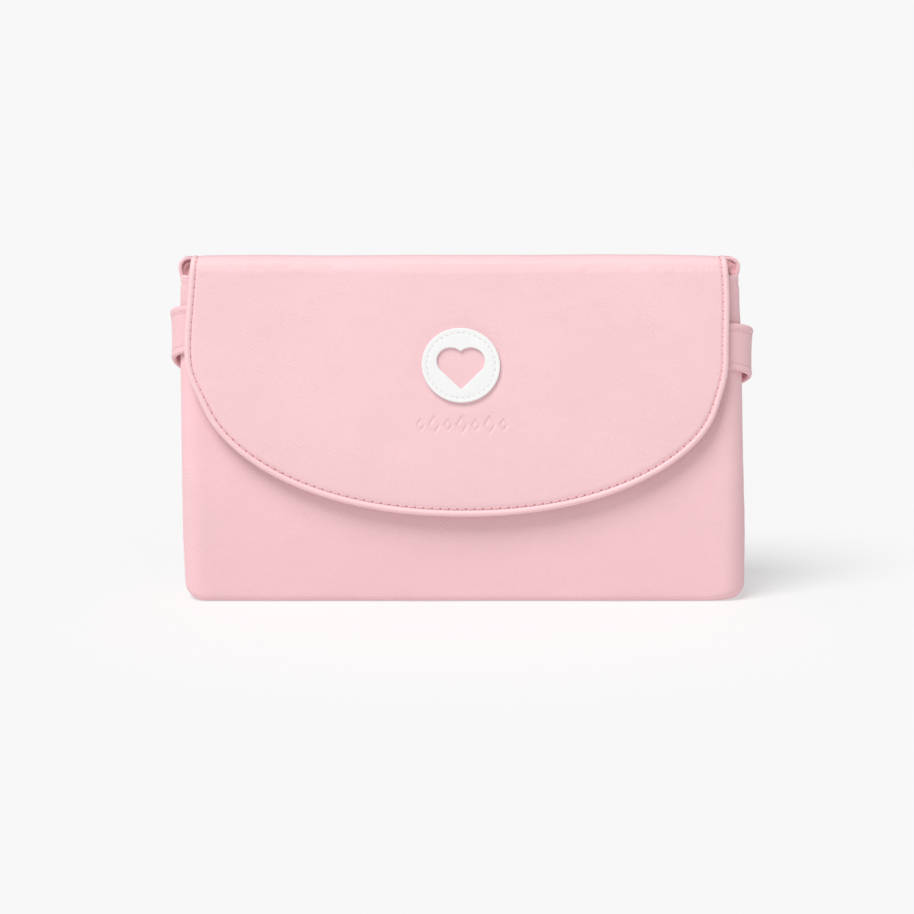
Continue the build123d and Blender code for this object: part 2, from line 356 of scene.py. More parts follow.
def stitches(route, pitch, length, width, rise, start=0.0, dip=0.0):
    """A row of short threads along a route, which dip at their far ends, each with a dark bead just past that
    end: painted shade in its needle hole.
    """
    threads = bmesh.new()
    hole_shades = bmesh.new()
    for i in range(int((route.length - 2 * start) / pitch)):
        place = start + (i + 0.5) * pitch
        point, ahead, normal = route.at(place)
        forward = (ahead - normal * dip).normalized()
        up = (normal - forward * normal.dot(forward)).normalized()
        bead(threads, point, forward, up, (length, width, rise), 6)
        # Dark bead just past the thread's end: painted shade in the needle hole.
        point, ahead, normal = route.at(place + length * 0.52)
        bead(hole_shades, point, ahead, normal, (width * 2.2, width * 1.3, rise * 0.9), 4)
    return threads, hole_shades


# ---------------------------------------------------------------- flap surface
def flap_half_width(z):
    """Half width of the flap at a height above its widest line."""
    share = (z - shape().wide_height) / (CROWN_TOP - shape().wide_height)
    return FLAP_HALF - (FLAP_HALF - CROWN_HALF) * max(share, 0.0) ** 2


def flap_skew(x, z):
    """How far the flap's side edges hang to the left, and pull in below their widest line."""
    edge = (x / FLAP_HALF) ** 2
    left = shape().flap_hang * hump(z, 122 * MM, 24 * MM)
    pulled = shape().flap_pull * hump(z, 101 * MM, 11 * MM)
    return left * edge + math.copysign(pulled, x) * edge


def flap_front_y(z):
    """Depth of the flap's middle: it stands further out towards its foot."""
    share = (BACK_FOLD.z - z) / (BACK_FOLD.z - FLAP_TIP)
    return FRONT_FOLD.y + (FLAP_FOOT_Y - FRONT_FOLD.y) * (1 - max(1 - share, 0.0) ** 2.2)


def crown_lengths():
    """Flat and bent lengths of the crown on each side of its middle."""
    radius = shape().crown_radius
    flat_front = FIELD_MIDDLE - FRONT_FOLD.y - radius
    flat_back = back_y(MOUTH_Z) - radius - FIELD_MIDDLE
    return flat_front, flat_back, radius * math.pi / 2


def back_y(z):
    """Depth of the flap's middle where it lies on the back panel."""
    return pouch_depth(z) + FLAP_HALF_THICK + 0.1 * MM


def height_to_reach(z):
    """Distance along the flap from the crown's middle to a height on its front."""
    flat, _, bend = crown_lengths()
    return flat + bend + (BACK_FOLD.z - shape().crown_radius - z)


def back_reach():
    """Distance along the flap from the crown's middle to its seam on the back panel."""
    flat, bend = crown_lengths()[1:]
    return flat + bend + (BACK_FOLD.z - shape().crown_radius) - FLAP_BACK_FOOT


def flap_frame(reach):
    """Middle of the flap's thickness and its outward direction, at a distance from the crown's middle."""
    radius = shape().crown_radius
    flat_front, flat_back, bend = crown_lengths()
    forwards = reach >= 0
    distance = abs(reach)
    sign = -1 if forwards else 1
    flat = flat_front if forwards else flat_back
    turn_y = FIELD_MIDDLE + sign * flat
    turn_z = BACK_FOLD.z - radius
    if distance <= flat:
        return Vector((0, FIELD_MIDDLE + sign * distance, BACK_FOLD.z)), Vector((0, 0, 1))
    if distance <= flat + bend:
        angle = (distance - flat) / radius
        out = Vector((0, sign * math.sin(angle), math.cos(angle)))
        return Vector((0, turn_y, turn_z)) + out * radius, out
    z = turn_z - (distance - flat - bend)
    if not forwards:
        return Vector((0, back_y(min(z, MOUTH_Z)), z)), Vector((0, 1, 0))
    slope = (flap_front_y(z + MM) - flap_front_y(z - MM)) / (2 * MM)
    return Vector((0, flap_front_y(z), z)), Vector((0, -1, slope)).normalized()


def inside_line(x, z, inset_side, inset_foot):
    """Distance from a point of the flap in to the outline that lies inset from its own."""
    wide = shape().wide_height
    if z >= wide:
        return flap_half_width(z) - inset_side - abs(x)
    power = shape().fullness
    drop = wide - FLAP_TIP - inset_foot
    share = (abs(x) / (FLAP_HALF - inset_side)) ** power + ((wide - z) / drop) ** power
    if share < 1e-6:
        return drop
    slope_x = (abs(x) / (FLAP_HALF - inset_side)) ** (power - 1) / (FLAP_HALF - inset_side)
    slope_z = ((wide - z) / drop) ** (power - 1) / drop
    return (1 - share) / (power * math.hypot(slope_x, slope_z))


def flap_point(x, reach, out):
    """Point on the flap: sideways place, distance from the crown's middle, and offset outwards."""
    base, normal = flap_frame(reach)
    sag = shape().crown_sag * hump(x, -0.03, 0.075) * max(normal.z, 0.0)
    co = base + normal * out
    co.x = x - flap_skew(x, base.z)
    ridge = FRONT_FOLD.y + 2 * shape().crown_radius
    back = min(max((base.y - ridge) / (BACK_FOLD.y - ridge), 0.0), 1.0)
    co.z -= sag + shape().crown_fall * back
    return settle(co)


def ornament(x, z):
    """How deep the debossed row of lozenges is here, from 0 to 1."""
    nearest = round(x / ORNAMENT_STEP)
    if abs(nearest) > (ORNAMENT_COUNT - 1) // 2:
        return 0.0
    tall = (3.9 if nearest % 2 == 0 else 2.6) * MM
    wide = (2.4 if nearest % 2 == 0 else 1.8) * MM
    spread = abs(x - nearest * ORNAMENT_STEP) / wide + abs(z - ORNAMENT_Z) / tall
    return hump(spread, 1.0, 0.24)


def flap_relief(x, z):
    """Fine height of the flap's leather over its plain form."""
    settings = shape()
    field = inside_line(x, z, settings.stitch_inset_side, settings.stitch_inset)
    rise = settings.pillow * (1 - math.exp(-max(field, 0) / (12 * MM)))
    rise -= 0.55 * MM * hump(field, 0, 0.8 * MM)
    rise += 0.30 * MM * ripple(x, z, 42 * MM, 1.7)
    rise += 0.07 * MM * ripple(x * 0.6, z * 1.5, 9 * MM, 4.2)
    around = math.hypot(x, z - PATCH_CENTRE.z)
    rise -= 0.3 * MM * hump(around, PATCH_RADIUS, 2.0 * MM)
    return rise


def flap_sheet(part, inner, outer, inset, columns, rows, relief):
    """Front or back part of one flap layer, as a closed sheet between two offsets."""
    settings = shape()
    power = 2 / settings.fullness
    wide = settings.wide_height
    lowest = wide - FLAP_TIP - inset
    seam = back_reach()

    def place(across, along):
        angle = math.pi * (1 - across)
        side = signed_power(math.cos(angle), power)
        if part == "back":
            reach = SEAM_LAP - (seam + SEAM_LAP) * along
            height = flap_frame(reach)[0].z
            x = side * (CROWN_HALF - inset)
        else:
            foot = wide - lowest * math.sin(angle) ** power
            reach = height_to_reach(foot) * along
            height = flap_frame(reach)[0].z
            x = side * (flap_half_width(height) - inset)
        lift = flap_relief(x, height) if relief else 0.0
        if part == "back":
            lift *= max(1 - along * 3, 0.0)
            lift -= 0.15 * MM * (reach > 0)
        return flap_point(x, reach, outer + lift)

    bm = grid(columns, rows, place)
    if part == "front" and relief:
        refine_ornament(bm)
    return thicken(bm, outer - inner, centre=Vector((0, FIELD_MIDDLE, CROWN_TOP / 2)))


def refine_ornament(bm):
    """Finer mesh under the debossed row, pressed in to shape."""
    half = (ORNAMENT_COUNT // 2 + 0.7) * ORNAMENT_STEP
    lean = shape().lean * ORNAMENT_Z / CROWN_TOP

    def near(co):
        return abs(co.x + lean) < half and abs(co.z - ORNAMENT_Z) < 5.5 * MM and co.y < FRONT_FOLD.y

    edges = [edge for edge in bm.edges if near(edge.verts[0].co) and near(edge.verts[1].co)]
    bmesh.ops.subdivide_edges(bm, edges=edges, cuts=3, use_grid_fill=True)
    for vert in bm.verts:
        if near(vert.co):
            vert.co.y += 0.42 * MM * ornament(vert.co.x + lean, vert.co.z)


def flap_route(inset, inset_foot, out, steps=40):
    """Line that follows the flap's outline at an inset, down one side and up the other."""
    settings = shape()
    power = 2 / settings.fullness
    wide = settings.wide_height
    spots = []
    for i in range(steps):
        height = flap_frame(height_to_reach(wide) * i / steps)[0].z
        spots.append((-(flap_half_width(height) - inset), height_to_reach(wide) * i / steps))
    for i in range(8 * steps + 1):
        angle = math.pi * (1 - i / (8 * steps))
        side = signed_power(math.cos(angle), power)
        foot = wide - (wide - FLAP_TIP - inset_foot) * math.sin(angle) ** power
        spots.append((side * (FLAP_HALF - inset), height_to_reach(foot)))
    for x, reach in reversed(spots[:steps]):
        spots.append((-x, reach))
    points = []
    normals = []
    for x, reach in spots:
        points.append(flap_point(x, reach, out))
        normals.append(flap_frame(reach)[1])
    return Route(points, normals)


def flap_back_route(side, inset, out, steps=30):
    """Line down one side of the flap's back part, from the crown's middle."""
    reach = back_reach()
    spots = [SEAM_LAP - (reach + SEAM_LAP) * i / steps for i in range(steps + 1)]
    if side > 0:
        spots.reverse()
    points = [flap_point(side * (CROWN_HALF - inset), spot, out) for spot in spots]
    return Route(points, [flap_frame(spot)[1] for spot in spots])


def roll_section(share):
    """Turned edge of the flap: a bead that is fuller towards the outside."""
    angle = 2 * math.pi * share
    half_high = FLAP_HALF_THICK + (0.45 * MM if math.sin(angle) > 0 else 0.2 * MM)
    return TURNED_EDGE_HALF * math.cos(angle), half_high * math.sin(angle)


# ---------------------------------------------------------------- pouch surface
def pouch_depth(z):
    """Half depth of the pouch at a height: fullest low down, where the mat lies."""
    reach = BELLY_Z if z < BELLY_Z else MOUTH_Z - BELLY_Z
    return BELLY_DEPTH - (BELLY_DEPTH - MOUTH_DEPTH) * ((z - BELLY_Z) / reach) ** 2


def pouch_half_width(z):
    """Half width of the pouch at a height."""
    return POUCH_HALF + (MOUTH_HALF + MOUTH_PLUMP - POUCH_HALF) * z / MOUTH_Z


def plan_point(share, half_x, half_y, corner):
    """Point and outward direction at a share of the way round a rounded rectangle."""
    straight_x = 2 * (half_x - corner)
    straight_y = 2 * (half_y - corner)
    bend = corner * math.pi / 2
    runs = [straight_x, bend, straight_y, bend, straight_x, bend, straight_y, bend]
    left = share * sum(runs)
    heading = 0
    x, y = -(half_x - corner), -half_y
    for i, run in enumerate(runs):
        ahead = Vector((math.cos(heading), math.sin(heading)))
        out = Vector((ahead.y, -ahead.x))
        if left <= run or i == len(runs) - 1:
            if i % 2 == 0:
                return Vector((x, y)) + ahead * left, out
            angle = left / corner
            turned = Matrix.Rotation(angle, 2) @ out
            return Vector((x, y)) - out * corner + turned * corner, turned
        left -= run
        if i % 2 == 0:
            x += ahead.x * run
            y += ahead.y * run
        else:
            centre = Vector((x, y)) - out * corner
            x, y = centre + ahead * corner
            heading += math.pi / 2
    return Vector((x, y)), out


def pouch_sheet(inset, columns, rows, top, relief):
    """Open-topped pouch surface, moved in by inset: walls, rounded lower edges and base."""
    corner = PLAN_CORNER - inset
    wall_share = 0.9

    def place(across, along):
        out = plan_point(across, POUCH_HALF - inset, BELLY_DEPTH - inset, corner)[1]
        radius = (3.4 + 4.4 * abs(out.x) ** 2) * MM - inset
        z = top - (top - radius - inset) * min(along / wall_share, 1.0)
        turn = 0.0
        if along > wall_share:
            turn = (along - wall_share) / (1 - wall_share) * math.pi / 2
            z = inset + radius * (1 - math.sin(turn))
        depth = pouch_depth(z) - inset
        spot, out = plan_point(across, pouch_half_width(z) - inset, depth, corner)
        fold = gusset_fold(out, spot.y / max(depth, MM), z)
        spot = spot - out * radius * (1 - math.cos(turn))
        spot = spot - Vector((math.copysign(fold, spot.x), 0)) * abs(out.x) ** 4
        if relief:
            spot = spot + out * pouch_relief(spot.x, z, out) * math.cos(turn)
        return settle(Vector((spot.x, spot.y, z)))

    bm = grid(columns, rows, place)
    bmesh.ops.remove_doubles(bm, verts=bm.verts, dist=0.02 * MM)
    low = inset + MM
    rim = [edge for edge in bm.edges if edge.is_boundary and edge.verts[0].co.z < low]
    bmesh.ops.contextual_create(bm, geom=rim)
    return bm


def gusset_fold(out, share, z):
    """Inward fold of a side gusset at a height: deepest at the mouth and along its middle."""
    start = 34 * MM
    if z < start or abs(out.x) < 0.5:
        return 0.0
    rise = (z - start) / (MOUTH_Z - start)
    return shape().gusset_fold * rise * max(1 - abs(share) * 1.15, 0.0)


def pouch_relief(x, z, out):
    """Fine height of the pouch's leather over its plain form."""
    rise = 0.35 * MM * ripple(x, z, 50 * MM, 9.1 + 5 * (out.y > 0))
    rise += 0.10 * MM * ripple(x * 0.5, z * 1.4, 10 * MM, 12.3)
    rise -= 0.45 * MM * hump(z, MOUTH_Z - 3.2 * MM, 0.8 * MM)
    return rise


# ---------------------------------------------------------------- materials
def node_group(name, inputs, outputs):
    """New shader node group with float or colour sockets."""
    group = bpy.data.node_groups.new(name, "ShaderNodeTree")
    for socket, kind, default in inputs:
        made = group.interface.new_socket(socket, in_out="INPUT", socket_type=kind)
        made.default_value = default
    for socket, kind in outputs:
        group.interface.new_socket(socket, in_out="OUTPUT", socket_type=kind)
    return group


def set_inputs(node, **settings):
    """Sets a node's inputs, named with _ for each space."""
    for name, value in settings.items():
        node.inputs[name.replace("_", " ")].default_value = value


def texture(tree, kind, vector, **settings):
    """Texture node on a vector, with scales in features per metre."""
    node = tree.nodes.new(f"ShaderNodeTex{kind}")
    set_inputs(node, **settings)
    tree.links.new(vector, node.inputs["Vector"])
    return node


def link_noise(tree, vector, scale, detail, rough=0.5):
    """Noise texture on a vector."""
    return texture(tree, "Noise", vector, Scale=scale, Detail=detail, Roughness=rough)


def math_node(tree, operation, a, b):
    """Math node on two sockets or numbers."""
    node = tree.nodes.new("ShaderNodeMath")
    node.operation = operation
    for i, value in enumerate((a, b)):
        if hasattr(value, "links"):
            tree.links.new(value, node.inputs[i])
        else:
            node.inputs[i].default_value = value
    return node.outputs[0]


def mix_colour(tree, factor, a, b):
    """Colour mix of two colours or sockets by a factor socket."""
    node = tree.nodes.new("ShaderNodeMix")
    node.data_type = "RGBA"
    tree.links.new(factor, node.inputs["Factor"])
    for name, value in (("A", a), ("B", b)):
        socket = [s for s in node.inputs if s.name == name and s.type == "RGBA"][0]
        if hasattr(value, "links"):
            tree.links.new(value, socket)
        else:
            socket.default_value = (*value, 1.0)
    return [s for s in node.outputs if s.type == "RGBA"][0]


def map_range(tree, value, low, high, to_low, to_high):
    """Carries a value from one range to another."""
    node = tree.nodes.new("ShaderNodeMapRange")
    tree.links.new(value, node.inputs["Value"])
    set_inputs(node, From_Min=low, From_Max=high, To_Min=to_low, To_Max=to_high)
    return node.outputs["Result"]


def grain_group():
    """Fine leather grain: pebbles, pores and slow mottling."""
    found = bpy.data.node_groups.get("fine_leather_grain")
    if found:
        return found
    group = node_group(
        "fine_leather_grain",
        [("Vector", "NodeSocketVector", (0, 0, 0)), ("Scale", "NodeSocketFloat", 1.0)],
        [("Height", "NodeSocketFloat"), ("Mottle", "NodeSocketFloat"), ("Pores", "NodeSocketFloat")],
    )
    start = group.nodes.new("NodeGroupInput")
    end = group.nodes.new("NodeGroupOutput")
    scaled = group.nodes.new("ShaderNodeVectorMath")
    scaled.operation = "SCALE"
    group.links.new(start.outputs["Vector"], scaled.inputs[0])
    group.links.new(start.outputs["Scale"], scaled.inputs["Scale"])
    vector = scaled.outputs[0]
    warp = link_noise(group, vector, 500, 2)
    bent = group.nodes.new("ShaderNodeVectorMath")
    bent.operation = "MULTIPLY_ADD"
    group.links.new(warp.outputs["Color"], bent.inputs[0])
    bent.inputs[1].default_value = (0.0012, 0.0012, 0.0012)
    group.links.new(vector, bent.inputs[2])
    pebbles = texture(group, "Voronoi", bent.outputs[0], Scale=1150)
    pebbles.feature = "DISTANCE_TO_EDGE"
    cells = map_range(group, pebbles.outputs["Distance"], 0.0, 0.22, 0.0, 1.0)
    fine = link_noise(group, vector, 2600, 2)
    creases = texture(
        group, "Wave", vector, Scale=260, Distortion=14, Detail=4, Detail_Scale=0.45, Detail_Roughness=0.62
    )
    creases.bands_direction = "DIAGONAL"
    patches = link_noise(group, vector, 55, 2)
    creased = map_range(group, patches.outputs["Fac"], 0.42, 0.62, 0.15, 1.0)
    lines = math_node(group, "MULTIPLY", creases.outputs["Fac"], creased)
    pebbled = math_node(group, "MULTIPLY", cells, 0.30)
    fine = math_node(group, "MULTIPLY", fine.outputs["Fac"], 0.25)
    height = math_node(group, "ADD", math_node(group, "ADD", pebbled, fine), lines)
    group.links.new(height, end.inputs["Height"])
    slow = link_noise(group, vector, 26, 3, 0.55)
    group.links.new(slow.outputs["Fac"], end.inputs["Mottle"])
    group.links.new(cells, end.inputs["Pores"])
    return group


def principled(name):
    """New material and its tree, shader and object coordinates."""
    material = bpy.data.materials.new(name)
    material.use_nodes = True
    tree = material.node_tree
    shader = tree.nodes["Principled BSDF"]
    coords = tree.nodes.new("ShaderNodeTexCoord").outputs["Object"]
    return material, tree, shader, coords


def set_bump(tree, shader, height, distance, strength):
    """Small relief on a shader's normal."""
    bump = tree.nodes.new("ShaderNodeBump")
    set_inputs(bump, Distance=distance, Strength=strength)
    tree.links.new(height, bump.inputs["Height"])
    tree.links.new(bump.outputs["Normal"], shader.inputs["Normal"])


def scaled(colour, factor):
    """A lighter or darker colour."""
    return tuple(min(channel * factor, 1.0) for channel in colour)


def leather_material(name, colour, roughness=0.5, grain=1.0, depth=0.12):
    """Soft coated leather: mottled colour, darker pores and fine grain."""
    material, tree, shader, coords = principled(name)
    group = tree.nodes.new("ShaderNodeGroup")
    group.node_tree = grain_group()
    set_inputs(group, Scale=grain)
    tree.links.new(coords, group.inputs["Vector"])
    mottle = map_range(tree, group.outputs["Mottle"], 0.3, 0.7, 0.0, 1.0)
    base = mix_colour(tree, mottle, scaled(colour, 0.975), scaled(colour, 1.02))
    pores = map_range(tree, group.outputs["Pores"], 0.0, 1.0, 1.0, 0.0)
    pores = math_node(tree, "MULTIPLY", pores, 0.35)
    tree.links.new(mix_colour(tree, pores, base, scaled(colour, 0.86)), shader.inputs["Base Color"])
    rough = map_range(tree, group.outputs["Pores"], 0.0, 1.0, roughness + 0.12, roughness)
    tree.links.new(rough, shader.inputs["Roughness"])
    set_inputs(shader, Specular_IOR_Level=0.42, Sheen_Weight=0.18, Sheen_Roughness=0.5)
    set_inputs(shader, Sheen_Tint=(*scaled(colour, 1.05), 1.0))
    set_bump(tree, shader, group.outputs["Height"], depth * MM, 0.55)
    return material


def weave_material(name, colour, pitch, roughness=0.8, depth=0.25):
    """Plain woven cloth: over and under threads from two wave patterns, with painted shade in the gaps
    between them.
    """
    material, tree, shader, coords = principled(name)
    waves = []
    for direction in ("X", "Z"):
        wave = texture(tree, "Wave", coords, Scale=1 / pitch / 3.18, Distortion=0.6, Detail=1.0)
        wave.bands_direction = direction
        waves.append(wave.outputs["Fac"])
    weave = math_node(tree, "MAXIMUM", waves[0], waves[1])
    slow = link_noise(tree, coords, 40, 3)
    base = mix_colour(tree, slow.outputs["Fac"], scaled(colour, 0.94), scaled(colour, 1.05))
    # Gaps between the threads darkened to 60 %: painted shade.
    gap_shade = math_node(tree, "MULTIPLY", math_node(tree, "SUBTRACT", 1.0, weave), 0.6)
    tree.links.new(mix_colour(tree, gap_shade, base, scaled(colour, 0.6)), shader.inputs["Base Color"])
    set_inputs(shader, Roughness=roughness, Sheen_Weight=0.25)
    set_bump(tree, shader, weave, depth * MM, 0.7)
    return material


def thread_material(name, colour, roughness=0.55):
    """Spun thread: fine twist along its beads."""
    material, tree, shader, coords = principled(name)
    twist = link_noise(tree, coords, 5200, 2)
    shade = map_range(tree, twist.outputs["Fac"], 0.3, 0.7, 0.0, 1.0)
    base = mix_colour(tree, shade, scaled(colour, 0.85), scaled(colour, 1.1))
    tree.links.new(base, shader.inputs["Base Color"])
    set_inputs(shader, Roughness=roughness, Sheen_Weight=0.3)
    set_bump(tree, shader, twist.outputs["Fac"], 0.06 * MM, 0.6)
    return material


def metal_material(name, colour, roughness):
    """Satin plated metal with faint turning marks."""
    material, tree, shader, coords = principled(name)
    marks = link_noise(tree, coords, 900, 3)
    tone = mix_colour(tree, marks.outputs["Fac"], scaled(colour, 0.9), scaled(colour, 1.06))
    tree.links.new(tone, shader.inputs["Base Color"])
    set_inputs(shader, Metallic=1.0)
    rough = map_range(tree, marks.outputs["Fac"], 0.3, 0.7, roughness, roughness + 0.1)
    tree.links.new(rough, shader.inputs["Roughness"])
    set_bump(tree, shader, marks.outputs["Fac"], 0.02 * MM, 0.4)
    return material


def board_material(name, colour):
    """Pressed grey board."""
    material, tree, shader, coords = principled(name)
    fibre = link_noise(tree, coords, 700, 5, 0.7)
    tone = mix_colour(tree, fibre.outputs["Fac"], scaled(colour, 0.8), scaled(colour, 1.1))
    tree.links.new(tone, shader.inputs["Base Color"])
    set_inputs(shader, Roughness=0.85)
    set_bump(tree, shader, fibre.outputs["Fac"], 0.08 * MM, 0.6)
    return material


MATERIALS = {}


def finish_of(name):
    """Each finish, made the first time that a piece needs it."""
    if name not in MATERIALS:
        tints = colours()
        makers = {
            "pink_leather": lambda: leather_material(name, tints.leather),
            # Pouch finish: the flap's leather made a deeper pink, painted shade.
            "pouch_leather_painted_shade": lambda: leather_material(name, tints.pouch),
            # Turned edge: the flap leather made 3.5 % lighter, a painted highlight on the rolled bead.
            "turned_edge_painted_highlight": lambda: leather_material(name, scaled(tints.leather, 1.035), 0.46),
            # Strap backing finish: partly its own tone, partly painted shade.
            "strap_backing": lambda: leather_material(name, tints.backing, 0.62, 1.3),
            "white_patch": lambda: leather_material(name, tints.patch, 0.55, 1.5, 0.06),
            "topstitch_thread": lambda: thread_material(name, tints.thread),
            # Needle-hole finish: dark red, painted shade.
            "needle_hole_shade": lambda: thread_material(name, tints.hole, 0.9),
            "patch_thread": lambda: thread_material(name, tints.patch_thread),
            "lining_weave": lambda: weave_material(name, tints.lining, 0.7 * MM),
            "pocket_mesh": lambda: weave_material(name, scaled(tints.lining, 1.12), 1.4 * MM, 0.7, 0.5),
            "mat_cover": lambda: leather_material(name, tints.mat_top, 0.42, 0.8, 0.05),
            "mat_binding": lambda: weave_material(name, tints.mat_edge, 0.9 * MM, 0.75, 0.3),
            "snap_metal": lambda: metal_material(name, (0.72, 0.72, 0.74), 0.28),
            "board": lambda: board_material(name, (0.60, 0.60, 0.58)),
        }
        MATERIALS[name] = makers[name]()
    return MATERIALS[name]


# ---------------------------------------------------------------- operators
def blend_flap(obj, part):
    """Bakes the piece's transform into its mesh, the same for the back and front parts."""
    if part == "back":
        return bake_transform(obj)
    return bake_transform(obj)


class PAD_OT_flap_leather(bpy.types.Operator):
    """Outer leather and lining of the flap, from the back seam over the crown to the tip"""

    bl_idname = "pad.flap_leather"
    bl_label = "Flap Leather"

    def execute(self, context):
        half = FLAP_HALF_THICK
        fine = 300
        for part, rows, stands_for in (
            ("front", fine // 3 + 10, ("flap_outer", "flap_foam")),
            ("back", 26, ("fold_strip",)),
        ):
            bm = flap_sheet(part, 0.2 * MM, half, 1.3 * MM, fine, rows, True)
            skin = piece(f"flap_leather_{part}", bm, "pink_leather")
            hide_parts(*stands_for)
            blend_flap(skin, part)
            bm = flap_sheet(part, -half, -half + 0.6 * MM, 2.2 * MM, 110, rows // 2, False)
            inside = piece(f"flap_lining_{part}", bm, "lining_weave")
            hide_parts("flap_lining" if part == "front" else "fold_lining")
            blend_flap(inside, part)
        return {"FINISHED"}


class PAD_OT_flap_edge(bpy.types.Operator):
    """Turned edge roll round the flap and its topstitching"""

    bl_idname = "pad.flap_edge"
    bl_label = "Flap Edge"

    def execute(self, context):
        settings = shape()
        inset = TURNED_EDGE_HALF
        bm = sweep(flap_route(inset, inset, 0.0), roll_section, 420)
        roll = piece("flap_edge_roll_front", bm, "turned_edge_painted_highlight")
        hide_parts("flap_edge_roll")
        blend_flap(roll, "front")
        for side, word in SIDES:
            bm = sweep(flap_back_route(side, inset, 0.0), roll_section, 60)
            roll = piece(f"flap_edge_roll_back_{word}", bm, "turned_edge_painted_highlight")
            blend_flap(roll, "back")
        rise = FLAP_HALF_THICK - 0.22 * MM
        routes = [("front", "front", flap_route(settings.stitch_inset_side, settings.stitch_inset, rise))]
        routes += [
            (f"back_{word}", "back", flap_back_route(side, settings.stitch_inset_side, rise))
            for side, word in SIDES
        ]
        for word, part, route in routes:
            threads, hole_shades = stitches(
                route, settings.stitch_pitch, 3.1 * MM, 0.62 * MM, 0.50 * MM, 0.8 * MM, dip=0.12
            )
            thread = piece(f"flap_topstitch_{word}", threads, "topstitch_thread")
            blend_flap(thread, part)
            hole = piece(f"flap_needle_hole_shades_{word}", hole_shades, "needle_hole_shade")
            blend_flap(hole, part)
        return {"FINISHED"}


class PAD_OT_pouch(bpy.types.Operator):
    """Leather pouch with its gussets and base, and the binding round its mouth"""

    bl_idname = "pad.pouch"
    bl_label = "Pouch"
    middle = Vector((0, 0, MOUTH_Z / 2))

    def execute(self, context):
        columns, rows = ((330, 100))
        bm = pouch_sheet(0.0, columns, rows, MOUTH_Z, True)
        thicken(bm, 1.5 * MM, centre=self.middle)
        body = piece("pouch_leather_painted_shade", bm, "pouch_leather_painted_shade")
        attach(body, "root")
        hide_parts("front_panel", "back_panel", "left_gusset", "right_gusset", "base_gusset")
        bm = pouch_sheet(2.8 * MM, 160, 60, MOUTH_Z - 0.6 * MM, False)
        thicken(bm, 0.5 * MM, centre=self.middle)
        lining = piece("pouch_lining_cloth", bm, "lining_weave")
        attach(lining, "root")
        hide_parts("pouch_lining")
        self.bind_mouth()
        return {"FINISHED"}

    def bind_mouth(self):
        """Rolled binding on the mouth's rim."""
        points = []
        for i in range(241):
            spot, out = plan_point(
                (i / 240) % 1.0, MOUTH_HALF + MOUTH_PLUMP - 1.5 * MM, MOUTH_DEPTH - 1.3 * MM, 9.6 * MM
            )
            fold = gusset_fold(out, spot.y / MOUTH_DEPTH, MOUTH_Z) * abs(out.x) ** 4
            points.append(settle(Vector((spot.x - math.copysign(fold, spot.x), spot.y, MOUTH_Z - 0.2 * MM))))
        route = Route(points, [Vector((0, 0, 1))] * len(points))
        bm = sweep(route, oval(1.5 * MM, 1.1 * MM), 300, 12)
        binding = piece("mouth_binding_roll", bm, "pink_leather")
        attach(binding, "root")
        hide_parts("mouth_binding")


